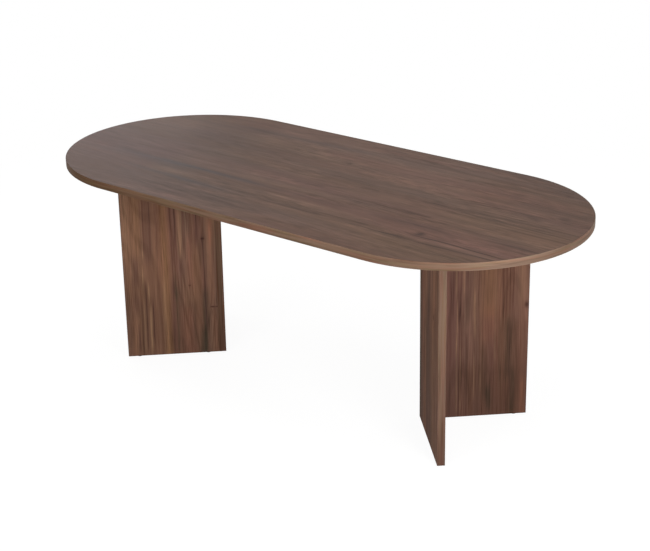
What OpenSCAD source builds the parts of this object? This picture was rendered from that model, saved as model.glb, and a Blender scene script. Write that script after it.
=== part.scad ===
// Racetrack dining table: a banded board top on two V-shaped legs of two boards each.
// The legs and the top are held by cam fittings and dowels, and stand on nail-on glides.
// X runs along the table, Y across it, Z up. The origin is on the floor under the centre of the top.

/* [Top] */
// Length of the top, from end to end
top_length = 2000; // [1700:10:2600]
// Width of the top, which is also the diameter of its round ends
top_width = 900; // [760:10:1100]
// Height of the upper face above the floor
table_height = 750; // [680:5:800]
// Thickness of the top's board
top_thickness = 25; // [22:1:36]

/* [Legs] */
// Width of each leg panel, from the outer corner of the V to its free end
leg_side = 355; // [290:5:420]
// Thickness of the leg boards
leg_thickness = 25; // [22:1:30]
// Overhang of the top past the tips of the legs, along the table
end_overhang = 295; // [220:10:380]

/* [Edging] */
// Thickness of the edge band round the top
top_band = 2; // [1.5:0.5:3]
// Thickness of the bands on the upright edges of the legs
leg_band = 2; // [1.5:0.5:3]
// Thickness of the bands under the legs
foot_band = 0.8; // [0.4:0.2:1.2]
// Radius worked on the outer edges of the thick bands
band_radius = 1; // [0.5:0.1:1.2]

/* [Cam fittings] */
// Diameter of the cam housings
cam_d = 15; // [14:0.5:16]
// Distance from a joint to the centre of its cams
cam_setback = 34; // [30:1:40]
// Distance from a board's end to the centre of the nearest cam
cam_end_gap = 55; // [45:1:75]
// Distance from the top and the foot of a leg to the corner joint's outer cams
corner_cam_gap = 110; // [100:5:150]
// Angle that a cam turns through to lock
cam_turn = 190; // [160:5:210]
// Distance that a cam draws its bolt in as it locks
cam_draw = 1.4; // [0.8:0.1:2]
// Diameter of the bolts' ball heads
bolt_head_d = 6.4; // [6:0.1:6.8]
// Diameter of the bolts' necks, which the cams grip
bolt_neck_d = 4; // [3.5:0.1:4.5]
// Diameter of the bolts' shanks
bolt_shank_d = 6; // [5.5:0.1:6.5]
// Diameter of the collars that seat the bolts on a board's face
bolt_collar_d = 7.6; // [7.2:0.1:7.8]
// Diameter of the bolts' screwed ends
bolt_thread_d = 5; // [4.5:0.1:5.5]
// Depth that the bolts are screwed into a board
bolt_thread_length = 11; // [9:0.5:12]
// Diameter of the bores that the bolts lie in
bolt_bore_d = 8; // [8:0.1:8.4]
// Diameter of the caps over the cams
cap_d = 17; // [16.5:0.5:20]
// Thickness of the caps' rims
cap_rim = 0.8; // [0.6:0.1:1.2]

/* [Dowels] */
// Diameter of the dowels
dowel_d = 8; // [6:0.5:9]
// Length of the dowels
dowel_length = 35; // [30:1:40]
// Depth that the dowels go into a board's face
dowel_face_depth = 12; // [10:0.5:14]
// Distance from a cam to the dowel beside it
dowel_pitch = 32; // [25:1:40]
// Number of flutes round a dowel
dowel_flutes = 10; // [6:1:14]
// Diameter of the cutter that makes the flutes
flute_d = 1; // [0.6:0.1:1.2]

/* [Glides] */
// Diameter of the glides
glide_d = 20; // [16:1:22]
// Height of the glides
glide_height = 3; // [2.6:0.2:5]
// Radius round the foot of a glide
glide_radius = 1; // [0.6:0.1:1.4]
// Distance from a board's end to the centre of the nearest glide
glide_inset = 40; // [25:1:60]
// Diameter of the glides' nails
nail_d = 2.4; // [2:0.1:3]
// Depth that the nails go into a board
nail_depth = 16; // [12:1:20]
// Diameter of the nails' heads
nail_head_d = 8; // [6:0.5:10]
// Thickness of the nails' heads
nail_head_h = 0.9; // [0.6:0.1:1]

/* [Fits] */
// Gap round a fitting in its hole
fit_gap = 0.1; // [0.05:0.05:0.2]
// Room left past the end of a fitting in a blind hole
end_room = 0.5; // [0.3:0.1:1]
// Gap between a bolt's head or neck and the cam that holds it
grip_gap = 0.2; // [0.1:0.05:0.3]

/* [Hidden] */
$fn = 96;
overcut = 1;
corner_angle = 90;
leg_top = table_height - top_thickness;
leg_foot = glide_height + foot_band;
board_height = leg_top - leg_foot;
end_radius = top_width / 2;
straight_length = top_length - top_width;
leg_reach = (leg_side + leg_thickness) * cos(corner_angle / 2);
corner_x = top_length / 2 - end_overhang - leg_reach;
board_middle = leg_thickness / 2;

// The cam takes the bolt's head at the middle of the board, over a floor of its own.
cam_floor = 1.3;
cam_lock_r = bolt_head_d / 2 + grip_gap;
cam_open_r = cam_lock_r + cam_draw;
cam_depth = board_middle + cam_lock_r + cam_floor;

// The slot for the bolt's neck runs a little past the angle at which the cam locks.
slot_overrun = 20;
cam_track_end = cam_turn + slot_overrun;
cam_step = 5;

// Width, length and depth of the cross that a driver turns, and how far the cap's cross clips into it.
cross_slot = [1.6, 8, 4];
cap_spigot_h = 2.5;

// A bolt's neck from the middle of its head, the cone past the neck, and the collar.
neck_end = 7.5;
neck_slope = 1;
collar_length = 1.5;

dowel_chamfer = 1;

// Places along a panel, counted from the outer corner of the V.
near_cam = leg_thickness + cam_end_gap;
far_cam = leg_side - cam_end_gap;
top_cam_places = [near_cam, far_cam];
top_dowel_places = [near_cam + dowel_pitch, far_cam - dowel_pitch];
far_glide = leg_side - glide_inset;
through_glide_places = [glide_inset, far_glide];
butt_glide_places = [leg_thickness + glide_inset, far_glide];

// Heights in the corner joint of a leg.
low_cam_z = leg_foot + corner_cam_gap;
high_cam_z = leg_top - corner_cam_gap;
corner_cam_heights = [low_cam_z, (low_cam_z + high_cam_z) / 2, high_cam_z];
corner_dowel_heights = [low_cam_z + dowel_pitch, high_cam_z - dowel_pitch];

walnut_top = [0.42, 0.34, 0.29];
walnut_leg = [0.41, 0.30, 0.24];
band_brown = [0.54, 0.42, 0.34];
cap_brown = [0.36, 0.26, 0.20];
zinc = [0.66, 0.67, 0.69];
steel = [0.78, 0.78, 0.76];
beech = [0.83, 0.68, 0.48];
black_plastic = [0.10, 0.10, 0.11];

// A leg is drawn with the outer corner of its V at the origin. The through panel runs along X and the
// butt panel along Y, against the through panel's inner face. Both legs are the same, half a turn apart.
module at_left() {
    translate([-corner_x, 0, 0]) rotate(180 - corner_angle / 2) children();
}

module at_right() {
    translate([corner_x, 0, 0]) rotate(-corner_angle / 2) children();
}

// A joint is drawn at the origin: +Z goes into the face that takes the bolt, -Z into the edge that
// holds the cam, and +X comes out of the face that the cam is put in from.
module at_top_joints(places) {
    for (place = places) {
        translate([place, board_middle, leg_top]) rotate(90) children();
        translate([board_middle, place, leg_top]) children();
    }
}

module at_corner_joints(heights) {
    for (height = heights)
        translate([board_middle, leg_thickness, height]) rotate([90, 0, 0]) children();
}

module at_through_glides() {
    for (place = through_glide_places) translate([place, board_middle, 0]) children();
}

module at_butt_glides() {
    for (place = butt_glide_places) translate([board_middle, place, 0]) children();
}

module at_glides() {
    at_through_glides() children();
    at_butt_glides() children();
}

// The holes that one cam fitting needs: housing, bolt bore and the screwed end's hole.
module cam_fitting_bores() {
    translate([board_middle - cam_depth, 0, -cam_setback])
        rotate([0, 90, 0]) cylinder(d = cam_d, h = cam_depth + overcut);
    translate([0, 0, -cam_setback]) cylinder(d = bolt_bore_d, h = cam_setback);
    cylinder(d = bolt_thread_d + 2 * fit_gap, h = bolt_thread_length + end_room);
}

module dowel_bores() {
    edge_depth = dowel_length - dowel_face_depth + end_room;
    translate([0, 0, -edge_depth])
        cylinder(d = dowel_d, h = edge_depth + dowel_face_depth + end_room);
}

module leg_bores() {
    at_top_joints(top_cam_places) cam_fitting_bores();
    at_top_joints(top_dowel_places) dowel_bores();
    at_corner_joints(corner_cam_heights) cam_fitting_bores();
    at_corner_joints(corner_dowel_heights) dowel_bores();
    at_glides() nail(fit_gap);
}

module racetrack(radius) {
    square([straight_length, 2 * radius], center = true);
    for (end = [-1, 1]) translate([end * straight_length / 2, 0]) circle(radius);
}

module top_panel() {
    color(walnut_top) difference() {
        translate([0, 0, leg_top]) linear_extrude(top_thickness) racetrack(end_radius - top_band);
        at_left() leg_bores();
        at_right() leg_bores();
    }
}

// Section of a thick band: its inner face is on Y, and its two outer edges are rounded.
module band_section(thickness, width) {
    square([thickness - band_radius, width]);
    translate([0, band_radius]) square([thickness, width - 2 * band_radius]);
    for (edge = [band_radius, width - band_radius])
        translate([thickness - band_radius, edge]) circle(band_radius);
}

module top_edge_band() {
    color(band_brown) for (turn = [0, 180]) rotate(turn) {
        translate([-straight_length / 2, end_radius - top_band, leg_top])
            rotate([90, 0, 90]) linear_extrude(straight_length) band_section(top_band, top_thickness);
        translate([straight_length / 2, 0, leg_top]) rotate(-90) rotate_extrude(angle = 180)
            translate([end_radius - top_band, 0]) band_section(top_band, top_thickness);
    }
}

module upright_band() {
    color(band_brown) translate([0, 0, glide_height])
        linear_extrude(leg_top - glide_height) band_section(leg_band, leg_thickness);
}

module through_panel() {
    color(walnut_leg) difference() {
        translate([leg_band, 0, leg_foot])
            cube([leg_side - 2 * leg_band, leg_thickness, board_height]);
        leg_bores();
    }
}

module butt_panel() {
    color(walnut_leg) difference() {
        translate([0, leg_thickness, leg_foot])
            cube([leg_thickness, leg_side - leg_thickness - leg_band, board_height]);
        leg_bores();
    }
}

module through_corner_band() {
    translate([leg_band, leg_thickness, 0]) rotate(180) upright_band();
}

module through_end_band() {
    translate([leg_side - leg_band, 0, 0]) upright_band();
}

module butt_end_band() {
    translate([leg_thickness, leg_side - leg_band, 0]) rotate(90) upright_band();
}

module through_foot_band() {
    color(band_brown) difference() {
        translate([leg_band, 0, glide_height])
            cube([leg_side - 2 * leg_band, leg_thickness, foot_band]);
        at_through_glides() nail(fit_gap);
    }
}

module butt_foot_band() {
    color(band_brown) difference() {
        translate([0, leg_thickness, glide_height])
            cube([leg_thickness, leg_side - leg_thickness - leg_band, foot_band]);
        at_butt_glides() nail(fit_gap);
    }
}

// How far the cam's inner wall stands from its axis, by how far the cam has turned past the bolt.
// The wall closes in on the ball head from its open to its locked radius, and so draws it in.
function cam_wall_r(turned) = cam_open_r - cam_draw * min(turned, cam_turn) / cam_turn;

// Outline of the room inside a cam: a spiral along the track, and open all round past its end.
module cam_room() {
    track = [for (turned = [0 : cam_step : cam_track_end])
        cam_wall_r(turned) * [cos(turned), sin(turned)]];
    past = [for (turned = [cam_track_end + cam_step : cam_step : 360 - cam_step])
        cam_open_r * [cos(turned), sin(turned)]];
    polygon(concat(track, past));
}

// A locked cam. The ball head entered by the round mouth. The cam then turned about it, so that
// the slot in the wall took in the bolt's neck.
module cam() {
    body_r = cam_d / 2 - fit_gap;
    slot_h = bolt_neck_d + 2 * grip_gap;
    color(zinc) translate([0, 0, -cam_setback]) rotate([0, 90, 0]) difference() {
        translate([0, 0, board_middle - cam_depth]) cylinder(r = body_r, h = cam_depth);
        rotate(180 - cam_turn) {
            translate([0, 0, -cam_lock_r]) linear_extrude(2 * cam_lock_r) cam_room();
            rotate([0, 90, 0]) cylinder(r = cam_lock_r, h = cam_d);
            rotate_extrude(angle = cam_track_end) translate([0, -slot_h / 2]) square([cam_d, slot_h]);
        }
        translate([0, 0, board_middle]) cross_recess(0);
    }
}

// The cross that a driver turns. It is cut down from the origin, narrowed by a gap all round.
module cross_recess(gap) {
    for (turn = [0, 90]) rotate(turn)
        translate([0, 0, -cross_slot.z / 2])
            cube([cross_slot.x - 2 * gap, cross_slot.y - 2 * gap, cross_slot.z + 2 * gap], center = true);
}

// A bolt with a ball head in the cam, a neck, a shank, a seating collar and a screwed end.
module cam_bolt() {
    color(steel) {
        translate([0, 0, -cam_setback]) sphere(d = bolt_head_d);
        rotate_extrude() polygon([
            [0, -cam_setback],
            [bolt_neck_d / 2, -cam_setback],
            [bolt_neck_d / 2, neck_end - cam_setback],
            [bolt_shank_d / 2, neck_end + neck_slope - cam_setback],
            [bolt_shank_d / 2, -collar_length],
            [bolt_collar_d / 2, -collar_length],
            [bolt_collar_d / 2, 0],
            [bolt_thread_d / 2, 0],
            [bolt_thread_d / 2, bolt_thread_length - bolt_thread_d / 4],
            [bolt_thread_d / 4, bolt_thread_length],
            [0, bolt_thread_length]
        ]);
    }
}

// A cap covers a cam: a thin rim on the board's face and a cross that clips into the recess.
module cam_cap() {
    color(cap_brown) translate([board_middle, 0, -cam_setback]) rotate([0, 90, 0]) {
        cylinder(d1 = cap_d, d2 = cap_d - 2 * cap_rim, h = cap_rim);
        intersection() {
            cross_recess(fit_gap);
            translate([0, 0, -cap_spigot_h]) cylinder(d = cam_d, h = cap_spigot_h + cap_rim / 2);
        }
    }
}

module dowel() {
    radius = dowel_d / 2 - fit_gap;
    start = dowel_face_depth - dowel_length;
    color(beech) difference() {
        union() {
            translate([0, 0, start])
                cylinder(r1 = radius - dowel_chamfer, r2 = radius, h = dowel_chamfer);
            translate([0, 0, start + dowel_chamfer])
                cylinder(r = radius, h = dowel_length - 2 * dowel_chamfer);
            translate([0, 0, dowel_face_depth - dowel_chamfer])
                cylinder(r1 = radius, r2 = radius - dowel_chamfer, h = dowel_chamfer);
        }
        for (flute = [0 : dowel_flutes - 1]) rotate(flute * 360 / dowel_flutes)
            translate([radius, 0, start - overcut]) cylinder(d = flute_d, h = dowel_length + 2 * overcut);
    }
}

// The nail, grown by a gap where it is used to cut its own hole.
module nail(gap) {
    head_z = glide_height - glide_radius - nail_head_h / 2;
    tip_z = glide_height + foot_band + nail_depth;
    translate([0, 0, head_z - gap]) cylinder(d = nail_head_d + 2 * gap, h = nail_head_h + 2 * gap);
    translate([0, 0, head_z]) cylinder(d = nail_d + 2 * gap, h = tip_z - nail_d - head_z);
    translate([0, 0, tip_z - nail_d]) cylinder(d1 = nail_d + 2 * gap, d2 = gap, h = nail_d + gap);
}

module glide_nail() {
    color(steel) nail(0);
}

module glide() {
    color(black_plastic) difference() {
        rotate_extrude() {
            square([glide_d / 2 - glide_radius, glide_height]);
            translate([0, glide_radius]) square([glide_d / 2, glide_height - glide_radius]);
            translate([glide_d / 2 - glide_radius, glide_radius]) circle(glide_radius);
        }
        nail(fit_gap);
    }
}

// The sets of fittings of one leg.
module corner_cams() {
    at_corner_joints(corner_cam_heights) cam();
}

module corner_cam_bolts() {
    at_corner_joints(corner_cam_heights) cam_bolt();
}

module corner_dowels() {
    at_corner_joints(corner_dowel_heights) dowel();
}

module top_cams() {
    at_top_joints(top_cam_places) cam();
}

module top_cam_bolts() {
    at_top_joints(top_cam_places) cam_bolt();
}

module top_dowels() {
    at_top_joints(top_dowel_places) dowel();
}

module glides() {
    at_glides() glide();
}

module glide_nails() {
    at_glides() glide_nail();
}

module cam_caps() {
    at_top_joints(top_cam_places) cam_cap();
    at_corner_joints(corner_cam_heights) cam_cap();
}

top_panel();
top_edge_band();
at_left() through_panel();  // left_through_panel
at_left() butt_panel();  // left_butt_panel
at_left() through_corner_band();  // left_through_corner_band
at_left() through_end_band();  // left_through_end_band
at_left() butt_end_band();  // left_butt_end_band
at_left() through_foot_band();  // left_through_foot_band
at_left() butt_foot_band();  // left_butt_foot_band
at_left() corner_cams();  // left_corner_cams
at_left() corner_cam_bolts();  // left_corner_cam_bolts
at_left() corner_dowels();  // left_corner_dowels
at_left() top_cams();  // left_top_cams
at_left() top_cam_bolts();  // left_top_cam_bolts
at_left() top_dowels();  // left_top_dowels
at_left() cam_caps();  // left_cam_caps
at_left() glides();  // left_glides
at_left() glide_nails();  // left_glide_nails
at_right() through_panel();  // right_through_panel
at_right() butt_panel();  // right_butt_panel
at_right() through_corner_band();  // right_through_corner_band
at_right() through_end_band();  // right_through_end_band
at_right() butt_end_band();  // right_butt_end_band
at_right() through_foot_band();  // right_through_foot_band
at_right() butt_foot_band();  // right_butt_foot_band
at_right() corner_cams();  // right_corner_cams
at_right() corner_cam_bolts();  // right_corner_cam_bolts
at_right() corner_dowels();  // right_corner_dowels
at_right() top_cams();  // right_top_cams
at_right() top_cam_bolts();  // right_top_cam_bolts
at_right() top_dowels();  // right_top_dowels
at_right() cam_caps();  // right_cam_caps
at_right() glides();  // right_glides
at_right() glide_nails();  // right_glide_nails
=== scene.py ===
from math import cos, pi, radians

import bpy
from mathutils import Euler, Matrix, Vector


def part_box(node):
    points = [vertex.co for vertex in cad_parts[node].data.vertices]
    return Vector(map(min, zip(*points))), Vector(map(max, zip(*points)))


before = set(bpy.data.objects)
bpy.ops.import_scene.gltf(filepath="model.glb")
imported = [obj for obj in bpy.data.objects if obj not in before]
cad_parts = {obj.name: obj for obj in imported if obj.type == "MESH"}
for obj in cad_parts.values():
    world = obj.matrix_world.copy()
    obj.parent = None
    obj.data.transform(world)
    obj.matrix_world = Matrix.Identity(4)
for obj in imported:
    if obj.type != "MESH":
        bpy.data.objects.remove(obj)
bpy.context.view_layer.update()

# Sizes, in metres
BOARD = 0.025
TOP_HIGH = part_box("top_panel")[1]
ROUND_END = TOP_HIGH.y
STRAIGHT_END = TOP_HIGH.x - ROUND_END
CORNER_X = -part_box("left_butt_panel")[1].x - BOARD * cos(pi / 4)
# A leg's own frame stands at its outer corner: x along the through panel, y along the butt panel.
LEG_TURN = {"left": radians(135), "right": radians(-45)}
LEG_PLACE = {"left": (-CORNER_X, 0, 0), "right": (CORNER_X, 0, 0)}


def srgb(red, green, blue):
    """A colour given as the 0 to 255 values that it shows on screen."""
    def linear(value):
        value /= 255
        return value / 12.92 if value <= 0.04045 else ((value + 0.055) / 1.055) ** 2.4
    return (linear(red), linear(green), linear(blue), 1)


# Node building
class Shader:
    """A material under construction. Sockets, numbers and colours can be given as inputs."""

    def __init__(self, name):
        self.material = bpy.data.materials.new(name)
        self.material.use_nodes = True
        self.tree = self.material.node_tree
        self.surface = self.tree.nodes["Principled BSDF"]
        self.coords = self.node("ShaderNodeTexCoord").outputs["Object"]

    def node(self, kind, inputs=(), **settings):
        made = self.tree.nodes.new(kind)
        for key, value in settings.items():
            setattr(made, key, value)
        for key, value in dict(inputs).items():
            self.feed(made.inputs[key], value)
        return made

    def feed(self, socket, value):
        if isinstance(value, bpy.types.NodeSocket):
            self.tree.links.new(value, socket)
        else:
            socket.default_value = value

    def math(self, operation, *values, clamp=False):
        made = self.node("ShaderNodeMath", enumerate(values), operation=operation, use_clamp=clamp)
        return made.outputs[0]

    def add(self, a, b):
        return self.math("ADD", a, b)

    def minus(self, a, b):
        return self.math("SUBTRACT", a, b)

    def times(self, a, b):
        return self.math("MULTIPLY", a, b)

    def split(self, vector):
        return self.node("ShaderNodeSeparateXYZ", {0: vector}).outputs

    def join(self, x, y, z):
        return self.node("ShaderNodeCombineXYZ", {0: x, 1: y, 2: z}).outputs[0]

    def place(self, location, turn):
        """Coordinates in a frame that stands at location and is turned about Z."""
        inputs = {"Vector": self.coords, "Location": location, "Rotation": (0, 0, turn)}
        return self.node("ShaderNodeMapping", inputs, vector_type="TEXTURE").outputs[0]

    def noise(self, x, y, z, detail=2.0, roughness=0.5):
        inputs = {"Vector": self.join(x, y, z), "Scale": 1.0, "Detail": detail, "Roughness": roughness}
        return self.node("ShaderNodeTexNoise", inputs).outputs["Fac"]

    def solid_noise(self, point, rates, detail=2.0, roughness=0.5, shift=None):
        """Noise with so many swings per metre along x, y and z. A shift takes another slice of it."""
        x, y, z = (self.times(axis, rate) for axis, rate in zip(point, rates))
        if shift is not None:
            z = self.add(z, shift)
        return self.noise(x, y, z, detail, roughness)

    def ease(self, value, start, end, low=0.0, high=1.0):
        """Goes smoothly from low at start to high at end, and stays there."""
        numbers = enumerate((value, start, end, low, high))
        return self.node("ShaderNodeMapRange", numbers, interpolation_type="SMOOTHSTEP").outputs[0]

    def bell(self, value, centre, width):
        """1 at the centre, falling off to nothing on both sides."""
        far = self.math("DIVIDE", self.minus(value, centre), width)
        return self.math("EXPONENT", self.times(self.times(far, far), -1))

    def mix(self, share, a, b, blend="MIX"):
        inputs = {0: share, 6: a, 7: b}
        return self.node("ShaderNodeMix", inputs, data_type="RGBA", blend_type=blend).outputs[2]

    def tint(self, share, colour, hue):
        """Multiplies the colour by a hue, as far as share says."""
        return self.mix(share, colour, self.mix(1.0, colour, hue, "MULTIPLY"))

    def brighten(self, colour, amount):
        """The colour times an amount, which is a number or a socket."""
        return self.node("ShaderNodeVectorMath", {0: colour, 3: amount}, operation="SCALE").outputs[0]

    def finish(self, colour, roughness, height, lift, specular=0.5):
        """Ends the material. The height, from 0 to 1, stands for a lift in metres."""
        bump = self.node("ShaderNodeBump", {"Height": height, "Distance": lift, "Strength": 1.0})
        looks = {"Base Color": colour, "Roughness": roughness, "Specular IOR Level": specular}
        for name, value in looks.items():
            self.feed(self.surface.inputs[name], value)
        self.feed(self.surface.inputs["Normal"], bump.outputs[0])
        return self.material


# Noise swings about this value, mostly by up to a quarter.
NOISE_MIDDLE = 0.5
NOISE_SWING = 0.25
# Each use of the noise takes a slice of its own, so many steps from the seed.
SLICES = {
    "ground": 1, "pores": 7, "sheen": 8, "rings": 9, "wide drift": 20, "placed drift": 21,
    "fine drift": 22, "lines": 30, "patches": 45, "threads": 50, "hues": 60,
}
# Rates are swings per metre along and across the grain. A swing's first two numbers say between
# which values a thing comes up. Where it has four, the others say from what to what it goes.
GROUND_RATES = (0.6, 9)
GROUND_DETAIL = 3
GROUND_SWING = (0.34, 0.66)
GROUND_EVENNESS = 0.45
HUE_SWING = (0.44, 0.66)
LINE_DETAIL = 2.5
PATCH_RATES = (2.2, 13)
PATCH_SWING = (0.35, 0.65, 0.50, 1.50)
THREAD_RATES = (7, 330)
THREAD_SWING = (0.3, 0.7, 0.65, 1.25)
RING_RATES = (0.45, 4.5)
RING_TURNS = 150
RING_SWING = (0.1, 1.0)
RING_MEAN = 0.35
PORE_RATES = (28, 1500)
PORE_SWING = (0.60, 0.72)
PORE_SHARE = 0.3
SHEEN_RATES = (3, 40)
# How far a knot parts the grain along it, in lengths of the knot, and how hard it pushes it aside.
KNOT_STRETCH = 4
KNOT_PUSH = 0.75


# Wood-grain decor
class Grain:
    """A sheet of walnut decor. along runs with the grain and across goes over it, in metres."""

    def __init__(self, shader, along, across, seed):
        self.s = shader
        self.along = along
        self.across = across
        self.seed = seed

    def part(self, rates, use, detail=2.0, step=0):
        """The slice of the noise for one use."""
        s = self.s
        along_rate, across_rate = rates
        return s.noise(s.times(self.along, along_rate), s.times(self.across, across_rate),
                       self.seed + SLICES[use] + step, detail)

    def wander(self, drifts, use):
        """Lets the lines of the grain drift sideways. A drift has its reach in metres and its rates."""
        s = self.s
        reach, rates = drifts[use]
        drift = s.times(s.minus(self.part(rates, use), NOISE_MIDDLE), reach / NOISE_SWING)
        self.across = s.add(self.across, drift)

    def part_round(self, knots, spread):
        """Parts the grain round each knot, over spread times the knot's width."""
        s = self.s
        for along, across, length, width, share in knots:
            near = s.times(s.bell(self.along, along, KNOT_STRETCH * length),
                           s.bell(self.across, across, spread * width))
            aside = s.times(s.minus(self.across, across), s.times(near, -KNOT_PUSH))
            self.across = s.add(self.across, aside)

    def lines(self, layers):
        """Adds up layers of (swings along, swings across, weight), about 0 on average."""
        s = self.s
        total = 0.0
        for step, (along_rate, across_rate, weight) in enumerate(layers):
            line = self.part((along_rate, across_rate), "lines", LINE_DETAIL, step)
            total = s.add(total, s.times(s.minus(line, NOISE_MIDDLE), weight))
        return s.times(total, s.ease(self.part(PATCH_RATES, "patches"), *PATCH_SWING))

    def rings(self):
        """Growth rings as level lines of a stretched field: 1 on a ring, 0 between."""
        s = self.s
        field = self.part(RING_RATES, "rings", 1.0)
        return s.ease(s.math("SINE", s.times(field, RING_TURNS)), *RING_SWING)

    def streaks(self, rows, fade):
        """How much of a set of streaks is here. Each: start, end, place at both, half width, share."""
        s = self.s
        total = 0.0
        for start, end, from_place, to_place, half_width, share in rows:
            slope = (to_place - from_place) / (end - start)
            centre = s.math("MULTIPLY_ADD", self.along, slope, from_place - slope * start)
            inside = s.times(s.ease(self.along, start - fade, start + fade),
                             s.ease(self.along, end - fade, end + fade, 1, 0))
            amount = s.times(s.bell(self.across, centre, half_width), s.times(inside, share))
            total = s.add(total, amount)
        threads = s.ease(self.part(THREAD_RATES, "threads"), *THREAD_SWING)
        return s.math("MULTIPLY", total, threads, clamp=True)

    def spots(self, rows):
        """How much of a set of knots and marks is here. Each: along, across, both half sizes, share."""
        s = self.s
        total = 0.0
        for along, across, length, width, share in rows:
            spot = s.times(s.bell(self.along, along, length), s.bell(self.across, across, width))
            total = s.add(total, s.times(spot, share))
        return s.math("MULTIPLY", total, 1.0, clamp=True)

    def pores(self):
        """Short dark pores, 1 where there is one."""
        return self.s.ease(self.part(PORE_RATES, "pores", 1), *PORE_SWING)


# Layers of fine lines: swings per metre along and across the grain, and weight.
TOP_LINES = [
    (1.6, 22, 0.95), (6, 55, 0.75), (12, 100, 0.62), (17, 190, 0.80), (24, 340, 0.85), (30, 800, 0.42),
]
LEG_LINES = [
    (0.9, 22, 0.30), (2.5, 60, 0.45), (5, 110, 0.35), (5, 190, 0.50), (6, 300, 0.90), (10, 500, 1.05),
    (20, 1100, 0.60),
]
# Drifts of the grain: reach in metres, and rates.
TOP_DRIFTS = {
    "placed drift": (0.0025, (3, 6)), "wide drift": (0.014, (0.9, 1.6)), "fine drift": (0.002, (5, 12)),
}
LEG_DRIFTS = {
    "placed drift": (0.0015, (6, 14)), "wide drift": (0.006, (1.6, 3)), "fine drift": (0.001, (9, 20)),
}


def laid_grain(s, along, across, seed, knots, spread, drifts):
    """The grain of a face, and the calmer grain that its placed streaks follow."""
    grain = Grain(s, along, across, seed)
    grain.part_round(knots, spread)
    placed = Grain(s, along, grain.across, seed)
    placed.wander(drifts, "placed drift")
    grain.wander(drifts, "wide drift")
    grain.wander(drifts, "fine drift")
    return grain, placed


def walnut(grain, tones, hues):
    """The ground of the decor: a brown that swings between dark, light, red, ochre and grey."""
    s = grain.s
    broad = s.ease(grain.part(GROUND_RATES, "ground", GROUND_DETAIL), *GROUND_SWING)
    out = s.mix(GROUND_EVENNESS, s.mix(broad, tones["dark"], tones["light"]), tones["middle"])
    for step, (tone, along_rate, across_rate, share) in enumerate(hues):
        here = s.ease(grain.part((along_rate, across_rate), "hues", step=step), *HUE_SWING, 0, share)
        out = s.mix(here, out, tones[tone])
    return out


def lined(grain, colour, layers, line_depth, ring_depth):
    """Draws the fine lines and the growth rings over a colour."""
    s = grain.s
    rings = s.times(s.minus(grain.rings(), RING_MEAN), -ring_depth)
    lines = s.times(grain.lines(layers), line_depth)
    return s.brighten(colour, s.add(1, s.add(lines, rings)))


TOP_TONES = {
    "dark": srgb(96, 71, 58), "middle": srgb(107, 80, 66), "light": srgb(119, 91, 74),
    "red": srgb(115, 81, 71), "ochre": srgb(113, 87, 68), "grey": srgb(96, 77, 70),
    "streak": srgb(78, 58, 50), "blue": srgb(66, 59, 60), "pale": srgb(134, 105, 87),
    "ink": srgb(58, 42, 35), "pink": srgb(136, 98, 86), "knot": srgb(62, 44, 37),
    # The lilac and silver tones serve the painted sheen of the top: its tint, and its lighter, greyer
    # veil
    "sheen_tint": srgb(98, 68, 65), "painted_sheen": srgb(131, 105, 92),
}
LEG_TONES = {
    "dark": srgb(100, 71, 57), "middle": srgb(124, 90, 73), "light": srgb(147, 112, 88),
    "red": srgb(130, 87, 72), "ochre": srgb(143, 105, 75), "grey": srgb(104, 84, 71),
    "streak": srgb(76, 53, 48), "olive": srgb(76, 63, 51), "pale": srgb(162, 126, 97),
    "rust": srgb(141, 94, 74), "plum": srgb(88, 62, 57), "knot": srgb(68, 44, 38),
}
# What a red panel's ground is multiplied by
LEG_BLUSH = (0.97, 0.86, 1.10, 1)
# Swings of hue over the ground: tone, swings per metre along and across the grain, share.
TOP_HUES = [("red", 0.7, 5, 0.55), ("ochre", 0.6, 6, 0.40), ("grey", 0.6, 7, 0.45)]
LEG_HUES = [("red", 1.0, 9, 0.60), ("ochre", 1.1, 11, 0.50), ("grey", 0.9, 13, 0.45)]

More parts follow.
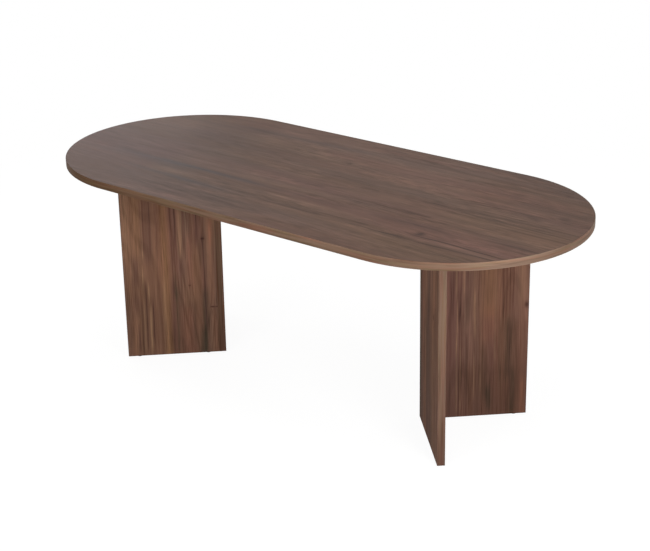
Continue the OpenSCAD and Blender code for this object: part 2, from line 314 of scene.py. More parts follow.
# Streaks: start and end along the grain, place over it at both ends, half width, share.
TOP_STREAKS = {
    # The first lilac wash, at the far left, is a painted tint of the sheen there; the second darkens the
    # front left where the sheen is too bright, painted shade.
    "sheen_tint": [(-1.20, -0.55, 0.000, -0.120, 0.300, 0.75), (-0.60, -0.20, -0.330, -0.380, 0.080, 0.35)],
    # The second dark wash, wide over the left half, is painted shade.
    "dark": [(-0.75, 0.05, -0.350, -0.310, 0.110, 0.45), (-0.95, -0.15, -0.020, -0.020, 0.300, 0.32),
             (0.60, 1.10, -0.345, -0.335, 0.070, 0.55), (-1.00, -0.52, 0.110, 0.110, 0.080, 0.45)],
    # The silver washes, lighter and greyer at the back and in the middle, are a painted sheen.
    "painted_sheen": [(-0.50, 0.50, 0.340, 0.260, 0.160, 0.42), (-0.25, 0.40, -0.100, -0.100, 0.180, 0.16)],
    "ochre": [(0.50, 0.90, -0.330, -0.350, 0.040, 0.55), (0.60, 1.00, -0.010, -0.020, 0.050, 0.45)],
    "red": [(-0.15, 0.90, 0.250, 0.215, 0.040, 0.40), (-0.10, 0.45, 0.390, 0.380, 0.014, 0.35),
            (-0.25, 0.15, -0.045, -0.050, 0.040, 0.35)],
    "blue": [(-0.80, -0.42, -0.135, -0.172, 0.022, 0.50), (-0.55, -0.10, -0.142, -0.154, 0.012, 0.80),
             (-0.62, -0.46, -0.245, -0.262, 0.014, 0.35), (-0.46, -0.18, -0.254, -0.270, 0.015, 0.65),
             (-0.60, 0.00, 0.318, 0.330, 0.016, 0.35), (-0.72, -0.44, 0.200, 0.210, 0.090, 0.25)],
    "streak": [(-0.60, -0.05, -0.340, -0.320, 0.080, 0.13), (0.64, 1.10, -0.345, -0.335, 0.060, 0.12),
               (-0.12, 0.30, -0.148, -0.165, 0.018, 0.45), (0.36, 0.66, -0.160, -0.166, 0.018, 0.40),
               (0.68, 0.86, -0.115, -0.125, 0.014, 0.40), (0.66, 0.97, 0.200, 0.185, 0.035, 0.40),
               (0.10, 0.50, -0.080, -0.088, 0.010, 0.42), (-0.18, 0.00, -0.358, -0.366, 0.014, 0.60),
               (0.10, 0.90, 0.345, 0.336, 0.010, 0.55)],
    "pink": [(0.70, 0.94, -0.212, -0.226, 0.014, 0.55)],
    "pale": [(-0.52, -0.36, -0.214, -0.222, 0.010, 0.40), (-0.05, 0.30, -0.205, -0.212, 0.010, 0.50),
             (0.48, 0.64, -0.252, -0.260, 0.005, 0.25), (0.66, 0.80, -0.262, -0.262, 0.005, 0.32),
             (0.82, 0.92, -0.270, -0.272, 0.005, 0.60), (-0.35, 0.20, -0.118, -0.112, 0.010, 0.25),
             (0.60, 0.75, 0.022, 0.022, 0.004, 0.40)],
    "ink": [(0.60, 0.94, -0.238, -0.256, 0.0045, 0.95), (0.36, 0.66, -0.274, -0.285, 0.0040, 0.75),
            (0.64, 0.92, -0.284, -0.280, 0.0045, 0.90), (0.22, 0.46, -0.250, -0.253, 0.0045, 0.55),
            (0.58, 1.00, 0.036, 0.038, 0.0040, 0.65), (0.58, 1.00, 0.010, -0.002, 0.0040, 0.68),
            (0.60, 0.95, 0.060, 0.056, 0.0030, 0.50), (0.76, 1.00, -0.034, -0.038, 0.0040, 0.70),
            (0.62, 0.90, -0.016, -0.014, 0.0030, 0.45), (0.80, 1.00, -0.147, -0.152, 0.0090, 0.65),
            (0.82, 1.00, -0.178, -0.186, 0.0100, 0.50), (-0.14, -0.04, -0.250, -0.248, 0.0070, 0.45),
            (0.00, 0.26, -0.264, -0.270, 0.0050, 0.60)],
}
TOP_KNOTS = [(0.598, -0.225, 0.016, 0.008, 0.95), (-0.005, 0.197, 0.010, 0.005, 0.50),
             (0.880, 0.145, 0.018, 0.010, 0.40)]

LEFT_BUTT_STREAKS = {
    "ochre": [(0.00, 0.75, 0.265, 0.265, 0.080, 0.14), (-0.10, 0.80, 0.206, 0.204, 0.014, 0.65),
              (0.40, 0.80, 0.312, 0.318, 0.020, 0.25), (0.22, 0.42, 0.338, 0.336, 0.010, 0.30)],
    "dark": [(0.20, 0.90, 0.335, 0.335, 0.040, 0.35), (-0.10, 0.20, 0.115, 0.115, 0.035, 0.40),
             (-0.10, 0.30, 0.330, 0.330, 0.040, 0.20)],
    "red": [(-0.10, 0.18, 0.130, 0.126, 0.026, 0.45), (0.26, 0.46, 0.116, 0.118, 0.012, 0.40)],
    "plum": [(0.36, 0.75, 0.268, 0.264, 0.018, 0.42), (0.28, 0.38, 0.312, 0.310, 0.012, 0.45),
             (0.16, 0.24, 0.312, 0.312, 0.012, 0.40), (0.30, 0.42, 0.150, 0.152, 0.012, 0.45),
             (0.02, 0.12, 0.310, 0.310, 0.004, 0.60), (0.34, 0.72, 0.172, 0.174, 0.010, 0.35),
             (-0.10, 0.28, 0.186, 0.180, 0.008, 0.50), (0.42, 0.70, 0.088, 0.086, 0.012, 0.40)],
    "rust": [(0.43, 0.51, 0.040, 0.040, 0.006, 0.70), (0.19, 0.72, 0.044, 0.046, 0.014, 0.30),
             (0.00, 0.17, 0.036, 0.036, 0.010, 0.35)],
    "olive": [(-0.05, 0.25, 0.075, 0.066, 0.011, 0.85), (-0.10, 0.09, 0.088, 0.082, 0.014, 0.55),
              (0.34, 0.44, 0.079, 0.078, 0.007, 0.45),
              (0.00, 0.26, 0.170, 0.168, 0.006, 0.65), (0.22, 0.32, 0.174, 0.172, 0.005, 0.50),
              (0.00, 0.70, 0.026, 0.027, 0.005, 0.25), (0.05, 0.20, 0.110, 0.108, 0.006, 0.35)],
    "streak": [(0.10, 0.45, 0.066, 0.068, 0.0025, 0.95), (0.42, 0.72, 0.165, 0.165, 0.003, 0.75),
               (0.25, 0.72, 0.180, 0.180, 0.003, 0.65), (0.42, 0.58, 0.090, 0.088, 0.004, 0.55),
               (0.42, 0.58, 0.136, 0.134, 0.004, 0.50), (0.06, 0.21, 0.257, 0.255, 0.003, 0.70),
               (0.02, 0.28, 0.281, 0.279, 0.0028, 0.75), (0.40, 0.72, 0.254, 0.252, 0.003, 0.55),
               (0.40, 0.72, 0.277, 0.274, 0.003, 0.55), (0.36, 0.60, 0.286, 0.284, 0.002, 0.50),
               (0.00, 0.22, 0.298, 0.296, 0.003, 0.50), (0.26, 0.62, 0.232, 0.230, 0.003, 0.35)],
    "pale": [(-0.10, 0.62, 0.046, 0.044, 0.014, 0.16), (0.38, 0.56, 0.149, 0.147, 0.007, 0.50),
             (0.02, 0.19, 0.2675, 0.2655, 0.0035, 0.95),
             (0.22, 0.28, 0.268, 0.269, 0.003, 0.85), (0.27, 0.34, 0.288, 0.287, 0.002, 0.75),
             (0.38, 0.42, 0.283, 0.283, 0.002, 0.75), (0.10, 0.30, 0.214, 0.212, 0.004, 0.40),
             (0.02, 0.20, 0.292, 0.288, 0.002, 0.45), (0.40, 0.72, 0.340, 0.334, 0.010, 0.30)],
}
LEFT_BUTT_KNOTS = [(0.445, 0.068, 0.004, 0.004, 0.95), (0.181, 0.027, 0.003, 0.005, 0.85),
                   (0.181, 0.040, 0.003, 0.006, 0.85), (0.268, 0.122, 0.003, 0.003, 0.55)]

RIGHT_BUTT_STREAKS = {
    "dark": [(-0.10, 0.34, 0.310, 0.305, 0.050, 0.55), (-0.10, 0.18, 0.200, 0.200, 0.120, 0.45),
             (0.36, 0.80, 0.284, 0.282, 0.028, 0.45), (0.36, 0.80, 0.110, 0.115, 0.040, 0.12)],
    "ochre": [(0.36, 0.70, 0.222, 0.224, 0.030, 0.45)],
    "rust": [(-0.10, 0.13, 0.341, 0.338, 0.006, 0.80), (0.28, 0.40, 0.225, 0.225, 0.022, 0.30)],
    "olive": [(0.02, 0.11, 0.228, 0.224, 0.012, 0.55), (0.06, 0.26, 0.212, 0.208, 0.016, 0.35),
              (0.14, 0.36, 0.290, 0.286, 0.018, 0.50), (-0.05, 0.16, 0.305, 0.306, 0.010, 0.50),
              (0.34, 0.44, 0.150, 0.150, 0.008, 0.40), (0.10, 0.34, 0.262, 0.260, 0.004, 0.35)],
    "streak": [(0.34, 0.46, 0.122, 0.124, 0.006, 0.55), (0.00, 0.75, 0.096, 0.098, 0.004, 0.35),
               (0.00, 0.40, 0.126, 0.127, 0.0025, 0.50), (0.00, 0.36, 0.134, 0.134, 0.0025, 0.45),
               (0.36, 0.70, 0.270, 0.266, 0.004, 0.60), (0.36, 0.70, 0.281, 0.279, 0.003, 0.60),
               (0.36, 0.70, 0.292, 0.290, 0.003, 0.60), (0.38, 0.70, 0.302, 0.300, 0.003, 0.55),
               (0.36, 0.70, 0.104, 0.106, 0.003, 0.45), (0.36, 0.70, 0.130, 0.132, 0.003, 0.45),
               (0.40, 0.70, 0.148, 0.150, 0.004, 0.40), (0.00, 0.30, 0.152, 0.150, 0.003, 0.35),
               (0.08, 0.34, 0.296, 0.292, 0.003, 0.45)],
    "pale": [(0.24, 0.42, 0.1185, 0.119, 0.0018, 0.50), (0.02, 0.28, 0.1185, 0.118, 0.0018, 0.45),
             (0.02, 0.26, 0.131, 0.130, 0.0018, 0.40), (0.42, 0.70, 0.175, 0.177, 0.005, 0.25),
             (0.30, 0.44, 0.178, 0.174, 0.004, 0.45),
             (0.08, 0.22, 0.176, 0.176, 0.002, 0.35), (0.10, 0.16, 0.198, 0.198, 0.002, 0.40),
             (0.44, 0.70, 0.114, 0.114, 0.003, 0.35), (0.44, 0.70, 0.140, 0.139, 0.003, 0.35),
             (0.40, 0.75, 0.334, 0.328, 0.012, 0.25), (0.20, 0.50, 0.246, 0.244, 0.003, 0.25)],
}
RIGHT_BUTT_KNOTS = [(0.396, 0.349, 0.011, 0.006, 0.85)]

RIGHT_THROUGH_STREAKS = {
    "grey": [(-0.20, 0.40, 0.180, 0.180, 0.300, 0.35)],
    "plum": [(-0.10, 0.50, 0.160, 0.160, 0.090, 0.30)],
    "olive": [(0.00, 0.75, 0.012, 0.014, 0.020, 0.70), (0.15, 0.55, 0.175, 0.180, 0.026, 0.30),
              (0.00, 0.20, 0.220, 0.215, 0.016, 0.30), (0.35, 0.75, 0.320, 0.325, 0.012, 0.25)],
    "streak": [(0.00, 0.75, 0.140, 0.142, 0.006, 0.40), (0.00, 0.60, 0.300, 0.296, 0.006, 0.40),
               (0.30, 0.75, 0.232, 0.236, 0.006, 0.40), (0.00, 0.75, 0.098, 0.099, 0.005, 0.40),
               (0.00, 0.50, 0.198, 0.197, 0.005, 0.40), (0.20, 0.75, 0.268, 0.270, 0.005, 0.40),
               (0.00, 0.75, 0.054, 0.055, 0.004, 0.35)],
    "rust": [(0.25, 0.75, 0.075, 0.080, 0.022, 0.35), (0.00, 0.30, 0.105, 0.100, 0.020, 0.30),
             (0.10, 0.60, 0.272, 0.268, 0.016, 0.15)],
    "pale": [(0.00, 0.75, 0.345, 0.345, 0.006, 0.35), (0.40, 0.75, 0.212, 0.212, 0.005, 0.35),
             (0.00, 0.75, 0.120, 0.121, 0.006, 0.35), (0.00, 0.75, 0.252, 0.251, 0.005, 0.30),
             (0.00, 0.75, 0.076, 0.076, 0.005, 0.25), (0.00, 0.60, 0.318, 0.317, 0.005, 0.30),
             (0.00, 0.75, 0.280, 0.280, 0.060, 0.20)],
}
RIGHT_THROUGH_KNOTS = [(0.470, 0.262, 0.010, 0.006, 0.70)]

LEFT_THROUGH_STREAKS = {
    "streak": [(0.00, 0.75, 0.118, 0.122, 0.006, 0.60), (0.20, 0.75, 0.205, 0.196, 0.012, 0.50),
               (0.00, 0.40, 0.262, 0.270, 0.005, 0.60)],
    "olive": [(0.00, 0.50, 0.070, 0.062, 0.014, 0.60), (0.30, 0.75, 0.310, 0.305, 0.010, 0.50)],
    "pale": [(0.10, 0.60, 0.160, 0.164, 0.008, 0.50), (0.00, 0.35, 0.235, 0.232, 0.005, 0.60)],
    "rust": [(0.00, 0.75, 0.030, 0.034, 0.012, 0.45), (0.25, 0.70, 0.250, 0.244, 0.014, 0.45)],
}
LEFT_THROUGH_KNOTS = [(0.340, 0.110, 0.012, 0.006, 0.85)]

# Each panel was cut from another place on the sheet: seed, streaks, knots, how red it is, how deep
# its lines are, and how bright it is at the floor, in the middle and under the top. These three
# brightnesses are partly the panel's own tone and partly painted shade: darker at the floor and, on
# most panels, darker under the top.
LEG_FACES = {
    "left_butt": (31.0, LEFT_BUTT_STREAKS, LEFT_BUTT_KNOTS, 0.15, 0.85, 0.88, 1.13, 0.84),
    "left_through": (47.0, LEFT_THROUGH_STREAKS, LEFT_THROUGH_KNOTS, 0.15, 0.90, 0.90, 1.06, 0.98),
    "right_butt": (59.0, RIGHT_BUTT_STREAKS, RIGHT_BUTT_KNOTS, 0.60, 0.62, 0.91, 1.08, 1.01),
    "right_through": (73.0, RIGHT_THROUGH_STREAKS, RIGHT_THROUGH_KNOTS, 0.40, 1.30, 0.72, 0.82, 0.90),
}
TOP_SEED = 11.0
# How far round a knot the grain is parted, in widths of the knot
TOP_KNOT_SPREAD = 3
LEG_KNOT_SPREAD = 2
# Length over which a placed streak fades in and out at its ends, in metres
TOP_FADE = 0.08
LEG_FADE = 0.03
TOP_RING_DEPTH = 0.10
LEG_RING_DEPTH = 0.13
# The lines of the top get clearer from its left end to the middle: x from, x to, depth at both.
TOP_LINE_DEPTH = (-0.9, 0.1, 0.42, 0.94)
# Heights of the painted shade: between them a leg goes from its darker foot to its middle's brightness,
# and on to the upper one
PAINTED_SHADE_FOOT_TO_MIDDLE = (0.08, 0.42)
PAINTED_SHADE_MIDDLE_TO_HIGH = (0.46, 0.62)
# The seam between a face and its band, in metres, and how dark it is
SEAM = 0.0016
SEAM_SHARE = 0.6
PORE_DEPTH = 0.00006
TOP_ROUGHNESS = 0.48
LEG_ROUGHNESS = 0.72
SHEEN_DEPTH = 0.12
TOP_SPECULAR = 0.11
LEG_SPECULAR = 0.05
BAND_SPECULAR = 0.06


def dressed_grain(grain, colour, tones, streaks, knots, fade):
    """Lays the placed streaks, knots and pores of a face over its ground colour."""
    s = grain.s
    for tone, rows in streaks.items():
        colour = s.mix(grain.streaks(rows, fade), colour, tones[tone])
    colour = s.mix(grain.spots(knots), colour, tones["knot"])
    pores = grain.pores()
    return s.mix(s.times(pores, PORE_SHARE), colour, tones["streak"]), pores


def uneven(grain, roughness):
    """A roughness that swings a little along the grain."""
    s = grain.s
    return s.add(roughness, s.times(grain.part(SHEEN_RATES, "sheen"), SHEEN_DEPTH))


def top_material():
    s = Shader("walnut top decor")
    x, y = s.split(s.coords)[:2]
    grain, placed = laid_grain(s, x, y, TOP_SEED, TOP_KNOTS, TOP_KNOT_SPREAD, TOP_DRIFTS)
    colour = walnut(grain, TOP_TONES, TOP_HUES)
    colour, pores = dressed_grain(placed, colour, TOP_TONES, TOP_STREAKS, TOP_KNOTS, TOP_FADE)
    colour = lined(grain, colour, TOP_LINES, s.ease(x, *TOP_LINE_DEPTH), TOP_RING_DEPTH)
    past = s.math("MAXIMUM", s.minus(s.math("ABSOLUTE", x), STRAIGHT_END), 0)
    reach = s.math("SQRT", s.add(s.times(past, past), s.times(y, y)))
    seam = s.ease(reach, ROUND_END - SEAM, ROUND_END - SEAM / 2, 0, SEAM_SHARE)
    colour = s.mix(seam, colour, TOP_TONES["streak"])
    return s.finish(colour, uneven(grain, TOP_ROUGHNESS), s.times(pores, -1), PORE_DEPTH, TOP_SPECULAR)


def leg_material(name):
    """Decor of one leg panel, whose grain stands upright."""
    s = Shader(name.replace("_", " ") + " decor")
    side, panel = name.split("_")
    seed, streaks, knots, redness, line_depth, foot, middle, high = LEG_FACES[name]
    x, y, z = s.split(s.place(LEG_PLACE[side], LEG_TURN[side]))
    across = x if panel == "through" else y
    grain, placed = laid_grain(s, z, across, seed, knots, LEG_KNOT_SPREAD, LEG_DRIFTS)
    colour = s.tint(redness, walnut(grain, LEG_TONES, LEG_HUES), LEG_BLUSH)
    colour, pores = dressed_grain(placed, colour, LEG_TONES, streaks, knots, LEG_FADE)
    colour = lined(grain, colour, LEG_LINES, line_depth, LEG_RING_DEPTH)
    # Painted shade over the height: darker at the foot and, on most panels, under the top
    colour = s.brighten(colour, s.ease(z, *PAINTED_SHADE_FOOT_TO_MIDDLE, foot, middle))
    colour = s.brighten(colour, s.ease(z, *PAINTED_SHADE_MIDDLE_TO_HIGH, 1.0, high / middle))
    return s.finish(colour, uneven(grain, LEG_ROUGHNESS), s.times(pores, -1), PORE_DEPTH, LEG_SPECULAR)


# Printed edging: swings per metre along x, y and z of its lines, bands and patches, and how deep
# the print is. An upright band has its lines along z, and the loop round the top along x and y.
UPRIGHT_PRINT = ((260, 260, 4.0), (80, 80, 2.0), (170, 170, 5.0), 0.64)
LOOP_PRINT = ((7.0, 7.0, 230), (2.5, 2.5, 90), (6.0, 6.0, 110), 0.48)
PRINT_DETAIL = 4
PRINT_ROUGHNESS = 0.7
PRINT_LIFT = 0.00004
BAND_SWING = (0.35, 0.68)
BAND_ROUGHNESS = 0.52
BAND_ROUGHNESS_SWING = 0.1
# Hues of the patches, which lie so many steps apart in the noise
BAND_HUES = [(1.04, 0.86, 0.84, 1), (0.90, 0.96, 0.86, 1), (0.78, 0.74, 0.72, 1)]
HUE_START = 7
HUE_STEP = 20
BAND_HUE_SWING = (0.48, 0.66, 0, 0.90)
# Upright bands: how the blush of the foot fades upwards, and three stretches of painted shade over z:
# darker at the foot, lighter in the middle, darker under the top
FOOT_BLUSH = (1.0, 0.86, 0.87, 1)
FOOT_BLUSH_FADE = (0.0, 0.4, 0.8, 0)
UPRIGHT_SHADES = [(0.04, 0.2, 0.70, 0.93), (0.2, 0.5, 1.0, 1.10), (0.5, 0.68, 1.0, 0.92)]
# The loop round the top: how its hue changes over x towards both ends. Towards the left end this is
# painted shade, darker and more olive; towards the right end it is a painted highlight, paler
LEFT_PAINTED_SHADE_HUE = (0.77, 0.65, 0.49, 1)
LEFT_PAINTED_SHADE_FADE = (-0.8, 0.08, 0.9, 0)
LEFT_SHADE = (-0.85, -0.62, 0.58, 1.0)
RIGHT_PAINTED_HIGHLIGHT_HUE = (1.14, 1.20, 1.26, 1)
RIGHT_PAINTED_HIGHLIGHT_RISE = (0.80, 0.95)
# Its light rim and its dark groove: depth below the top, half width, amount
RIM = (0.003, 0.002, 0.12)
GROOVE = (0.0205, 0.0015, -0.10)
# Its lighter stretch, painted light along its front: x of the middle, half length, amount
PAINTED_LIGHT_STRETCH = (0.22, 0.28, 0.10)


def printed(s, point, tone, dark_tone, rates):
    """The print of a band before it is shaded, and its fine lines."""
    fine_rates, broad_rates, patch_rates = rates
    fine = s.solid_noise(point, fine_rates, PRINT_DETAIL, PRINT_ROUGHNESS)
    broad = s.solid_noise(point, broad_rates)
    colour = s.mix(s.ease(broad, *BAND_SWING), tone, dark_tone)
    for step, hue in enumerate(BAND_HUES):
        patch = s.solid_noise(point, patch_rates, shift=HUE_STEP * step + HUE_START)
        colour = s.tint(s.ease(patch, *BAND_HUE_SWING), colour, hue)
    return colour, fine


def finished_band(s, colour, fine, print_depth):
    """Ends a band's material: its fine lines change its brightness, height and roughness."""
    colour = s.brighten(colour, s.add(1 - print_depth / 2, s.times(fine, print_depth)))
    rough = s.add(BAND_ROUGHNESS, s.times(fine, BAND_ROUGHNESS_SWING))
    return s.finish(colour, rough, fine, PRINT_LIFT, BAND_SPECULAR)


def loop_band_material(name, tone, dark_tone):
    """Edging round the top, whose lines run along it."""
    s = Shader(name)
    x, y, z = s.split(s.coords)
    *rates, print_depth = LOOP_PRINT
    colour, fine = printed(s, (x, y, z), tone, dark_tone, rates)
    # Painted shade: darker and more olive towards the left end
    colour = s.tint(s.ease(x, *LEFT_PAINTED_SHADE_FADE), colour, LEFT_PAINTED_SHADE_HUE)
    # Painted shade: darker still at the far left end
    colour = s.brighten(colour, s.ease(x, *LEFT_SHADE))
    rim, groove = (s.times(s.bell(z, TOP_HIGH.z - depth, half_width), amount)
                   for depth, half_width, amount in (RIM, GROOVE))
    colour = s.brighten(colour, s.add(1, s.add(rim, groove)))
    # Painted light: a lighter stretch along the front of the loop
    middle, half_length, amount = PAINTED_LIGHT_STRETCH
    colour = s.brighten(colour, s.add(1, s.times(s.bell(x, middle, half_length), amount)))
    # Painted highlight: paler and less red towards the right end
    colour = s.tint(s.ease(x, *RIGHT_PAINTED_HIGHLIGHT_RISE), colour, RIGHT_PAINTED_HIGHLIGHT_HUE)
    return finished_band(s, colour, fine, print_depth)


def upright_band_material(name, tone, dark_tone, side):
    """Edging of a leg, whose lines stand upright."""
    s = Shader(name)
    x, y, z = s.split(s.place(LEG_PLACE[side], LEG_TURN[side]))
    *rates, print_depth = UPRIGHT_PRINT
    colour, fine = printed(s, (x, y, z), tone, dark_tone, rates)
    colour = s.tint(s.ease(z, *FOOT_BLUSH_FADE), colour, FOOT_BLUSH)
    # Painted shade: darker at the foot and under the top
    for shade in UPRIGHT_SHADES:
        colour = s.brighten(colour, s.ease(z, *shade))
    return finished_band(s, colour, fine, print_depth)


# Plain finishes: colour, colour of the flecks, flecks per metre, roughness and how metallic.
PLAIN_FINISHES = {
    "cast zinc": (srgb(168, 170, 174), srgb(140, 142, 146), 900, 0.42, 1.0),
    "zinc-plated steel": (srgb(196, 197, 194), srgb(170, 168, 158), 1500, 0.3, 1.0),
    "beech": (srgb(210, 174, 124), srgb(180, 140, 94), 700, 0.7, 0.0),
    "brown cap plastic": (srgb(92, 66, 52), srgb(80, 56, 44), 1200, 0.5, 0.0),
    "black glide plastic": (srgb(26, 26, 28), srgb(34, 34, 36), 900, 0.45, 0.0),
}
PLAIN_PIECES = {
    "cast zinc": ["corner_cams", "top_cams"],
    "zinc-plated steel": ["corner_cam_bolts", "top_cam_bolts", "glide_nails"],
    "beech": ["corner_dowels", "top_dowels"],
    "brown cap plastic": ["cam_caps"],
    "black glide plastic": ["glides"],
}
GRIT_DETAIL = 4
GRIT_ROUGHNESS = 0.6
GRIT_LIFT = 0.00005
FLECK_SWING = (0.4, 0.7, 0, 0.6)
# The broad unevenness of a plain finish: how much wider than its flecks, and how deep
BROADER = 12
TONE_DEPTH = 0.2
PLAIN_ROUGHNESS_DEPTH = 0.12


def speckled_material(name):
    """A plain part: fine flecks, a little bump and uneven roughness."""
    tone, fleck, rate, roughness, metallic = PLAIN_FINISHES[name]
    s = Shader(name)
    x, y, z = s.split(s.coords)
    grit = s.solid_noise((x, y, z), (rate, rate, rate), GRIT_DETAIL, GRIT_ROUGHNESS)
    broad_rate = rate / BROADER
    broad = s.solid_noise((x, y, z), (broad_rate, broad_rate, broad_rate))
    colour = s.mix(s.ease(grit, *FLECK_SWING), tone, fleck)
    colour = s.brighten(colour, s.add(1 - TONE_DEPTH / 2, s.times(broad, TONE_DEPTH)))
    s.surface.inputs["Metallic"].default_value = metallic
    rough = s.add(roughness - PLAIN_ROUGHNESS_DEPTH / 2, s.times(broad, PLAIN_ROUGHNESS_DEPTH))
    return s.finish(colour, rough, grit, GRIT_LIFT)


# Colours of the bands, light and dark: round the top, at the legs' free ends, at corners and feet
TOP_EDGING = (srgb(126, 101, 84), srgb(114, 90, 74))
END_EDGING = (srgb(130, 104, 88), srgb(116, 92, 78))
CORNER_EDGING = (srgb(113, 86, 70), srgb(101, 77, 62))


def put(material, *names):
    """Gives the material to the named nodes of the part."""
    for name in names:
        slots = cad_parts[name].data.materials
        if not slots:
            slots.append(material)
        for index in range(len(slots)):
            slots[index] = material


def dress():
    put(top_material(), "top_panel")
    put(loop_band_material("top edging", *TOP_EDGING), "top_edge_band")
    for name in LEG_FACES:
        put(leg_material(name), name + "_panel")
    for side in LEG_PLACE:
        ends = upright_band_material(side + " end edging", *END_EDGING, side)
        put(ends, side + "_through_end_band", side + "_butt_end_band")
        corner = upright_band_material(side + " corner edging", *CORNER_EDGING, side)
        put(corner, side + "_through_corner_band", side + "_through_foot_band", side + "_butt_foot_band")
    for finish, pieces in PLAIN_PIECES.items():
        put(speckled_material(finish), *(side + "_" + piece for side in LEG_PLACE for piece in pieces))


# Stage, light and camera
FLOOR_HALF = 40.0
# Distances from the middle at which the floor starts to fade into the background, and is gone
STAGE_NEAR = 1.3
STAGE_FAR = 3.0
# Share of the shadow in what the camera sees of the floor, and the glow of the rest, near the object
FLOOR_SHADOW = 0.12
FLOOR_GLOW = 1.06
# What the floor gives to the object
FLOOR_BOUNCE = srgb(96, 96, 96)
AMBIENT = 0.2
WHITE = (1, 1, 1, 1)
MIDDLE = (0, 0, 0.4)
RIGHT_END = (0.9, -0.3, 0.5)
RIGHT_MIDDLE = (0.6, -0.1, 0.5)
LEFT_END = (-0.8, 0, 0.75)
LEFT_LEG = (-0.56, 0, 0.4)

# Lamps: degrees round from +X, degrees up, distance, size, watts, and what they look at.
LAMPS = {
    "front": (-85, 12, 4.5, 2.0, 58, MIDDLE),
    "right": (45, 12, 4.5, 2.0, 5, MIDDLE),
    "near_front": (-88, 12, 2.2, 1.0, 9, MIDDLE),
    "near_right": (-27, 14, 1.4, 0.6, 22, RIGHT_END),
    "over": (0, 89, 3.4, 2.4, 28.5, RIGHT_MIDDLE),
    "high": (-10, 40, 4.5, 2.0, 12, MIDDLE),
    "sheen": (141, 12, 2.5, 1.0, 6.7, LEFT_END),
    "back_right": (75, 4, 4.5, 2.0, 54, MIDDLE),
    "back_left": (145, 4, 4.5, 2.0, 54, MIDDLE),
    "near_left": (180, 8, 1.6, 0.8, 7, LEFT_LEG),
}
# Lamps that fill the far sides only, and give the top no veil.
MATT_LAMPS = ("back_right", "back_left", "near_left")


def add_node(tree, kind, **inputs):
    """A node of a floor or world shader, with its named inputs set."""
    made = tree.nodes.new(kind)
    for name, value in inputs.items():
        made.inputs[name].default_value = value
    return made


def mix_shaders(tree, share, a, b):
    """Shader a where share is 0, and b where it is 1."""
    made = tree.nodes.new("ShaderNodeMixShader")
    for socket, source in zip(made.inputs, (share, a, b)):
        tree.links.new(source, socket)
    return made.outputs[0]


def seen_directly(tree):
    """1 for camera, mirror and see-through rays, which find the background white."""
    path = tree.nodes.new("ShaderNodeLightPath")
    total = path.outputs["Is Camera Ray"]
    for name in ("Is Glossy Ray", "Is Transmission Ray"):
        more = tree.nodes.new("ShaderNodeMath")
        more.operation = "MAXIMUM"
        tree.links.new(total, more.inputs[0])
        tree.links.new(path.outputs[name], more.inputs[1])
        total = more.outputs[0]
    return total


def fading(tree, reach, near, far):
    """Goes from near, round the object, to far, where the floor meets the background."""
    fade = tree.nodes.new("ShaderNodeMapRange")
    tree.links.new(reach, fade.inputs["Value"])
    limits = {"From Min": STAGE_NEAR, "From Max": STAGE_FAR, "To Min": near, "To Max": far}
    for name, number in limits.items():
        fade.inputs[name].default_value = number
    return fade.outputs[0]


def floor_material():
    """White to the camera but for a soft shadow, and a plain grey in its light on the object."""
    material = bpy.data.materials.new("floor white")
    material.use_nodes = True
    tree = material.node_tree
    tree.nodes.clear()
    output = tree.nodes.new("ShaderNodeOutputMaterial")
    bounce = add_node(tree, "ShaderNodeBsdfDiffuse", Color=FLOOR_BOUNCE)
    matt = add_node(tree, "ShaderNodeBsdfDiffuse", Color=WHITE)
    glow = add_node(tree, "ShaderNodeEmission", Color=WHITE)
    place = tree.nodes.new("ShaderNodeTexCoord")
    distance = tree.nodes.new("ShaderNodeVectorMath")
    distance.operation = "LENGTH"
    tree.links.new(place.outputs["Object"], distance.inputs[0])
    reach = distance.outputs["Value"]
    tree.links.new(fading(tree, reach, FLOOR_GLOW, 1.0), glow.inputs["Strength"])
    shadow_share = fading(tree, reach, FLOOR_SHADOW, 0.0)
    shown = mix_shaders(tree, shadow_share, glow.outputs[0], matt.outputs[0])
    final = mix_shaders(tree, seen_directly(tree), bounce.outputs[0], shown)
    tree.links.new(final, output.inputs["Surface"])
    return material


def build_floor():
    corners = [(-FLOOR_HALF, -FLOOR_HALF, 0), (FLOOR_HALF, -FLOOR_HALF, 0),
               (FLOOR_HALF, FLOOR_HALF, 0), (-FLOOR_HALF, FLOOR_HALF, 0)]
    mesh = bpy.data.meshes.new("floor")
    mesh.from_pydata(corners, [], [(0, 1, 2, 3)])
    mesh.materials.append(floor_material())
    floor = bpy.data.objects.new("floor", mesh)
    bpy.context.collection.objects.link(floor)


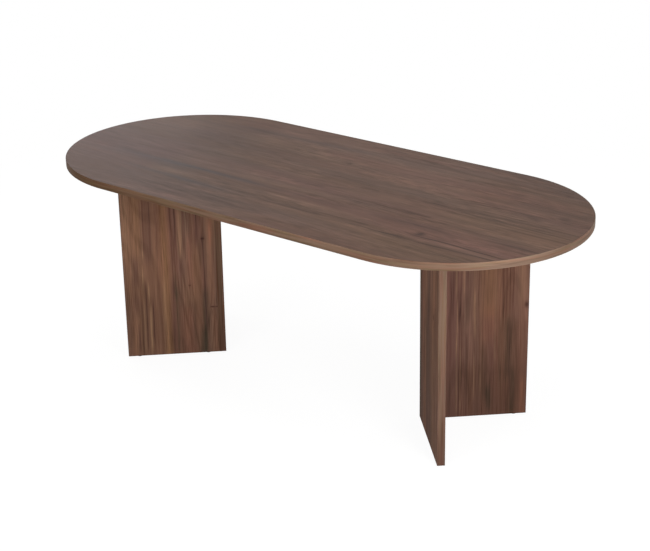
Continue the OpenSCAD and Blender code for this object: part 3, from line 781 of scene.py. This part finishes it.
def build_world():
    world = bpy.data.worlds.new("studio")
    bpy.context.scene.world = world
    world.use_nodes = True
    tree = world.node_tree
    tree.nodes.clear()
    output = tree.nodes.new("ShaderNodeOutputWorld")
    soft = add_node(tree, "ShaderNodeBackground", Color=WHITE, Strength=AMBIENT)
    white = add_node(tree, "ShaderNodeBackground", Color=WHITE, Strength=1.0)
    both = mix_shaders(tree, seen_directly(tree), soft.outputs[0], white.outputs[0])
    tree.links.new(both, output.inputs["Surface"])


def build_lamp(name, azimuth, elevation, distance, size, power, target):
    """A square soft box that looks at the target."""
    aim = Euler((0, -radians(elevation), radians(azimuth))).to_matrix() @ Vector((1, 0, 0))
    data = bpy.data.lights.new(name, "AREA")
    data.shape = "SQUARE"
    data.size = size
    data.energy = power
    lamp = bpy.data.objects.new(name, data)
    lamp.location = Vector(target) + aim * distance
    lamp.rotation_euler = aim.to_track_quat("Z", "Y").to_euler()
    lamp.visible_camera = False
    lamp.visible_glossy = name not in MATT_LAMPS
    bpy.context.collection.objects.link(lamp)


# The camera of the photograph: place in metres, angles in degrees, lens and sensor in millimetres
CAMERA_PLACE = Vector((3.2900, -3.9367, 2.4338))
CAMERA_HEADING = 39.56
CAMERA_TILT = 21.60
CAMERA_ROLL = -1.04
CAMERA_LENS = 89.66
CAMERA_SENSOR = 36
CAMERA_REACH = 200


def build_camera():
    data = bpy.data.cameras.new("camera")
    data.sensor_width = CAMERA_SENSOR
    data.lens = CAMERA_LENS
    data.clip_end = CAMERA_REACH
    camera = bpy.data.objects.new("camera", data)
    level = Euler((radians(90 - CAMERA_TILT), 0, radians(CAMERA_HEADING))).to_matrix()
    turned = level @ Matrix.Rotation(radians(CAMERA_ROLL), 3, "Z")
    camera.matrix_world = Matrix.Translation(CAMERA_PLACE) @ turned.to_4x4()
    bpy.context.collection.objects.link(camera)
    bpy.context.scene.camera = camera


build_camera()
build_world()
build_floor()
for lamp_name, setting in LAMPS.items():
    build_lamp(lamp_name, *setting)
dress()
bpy.context.scene.view_settings.view_transform = "Standard"
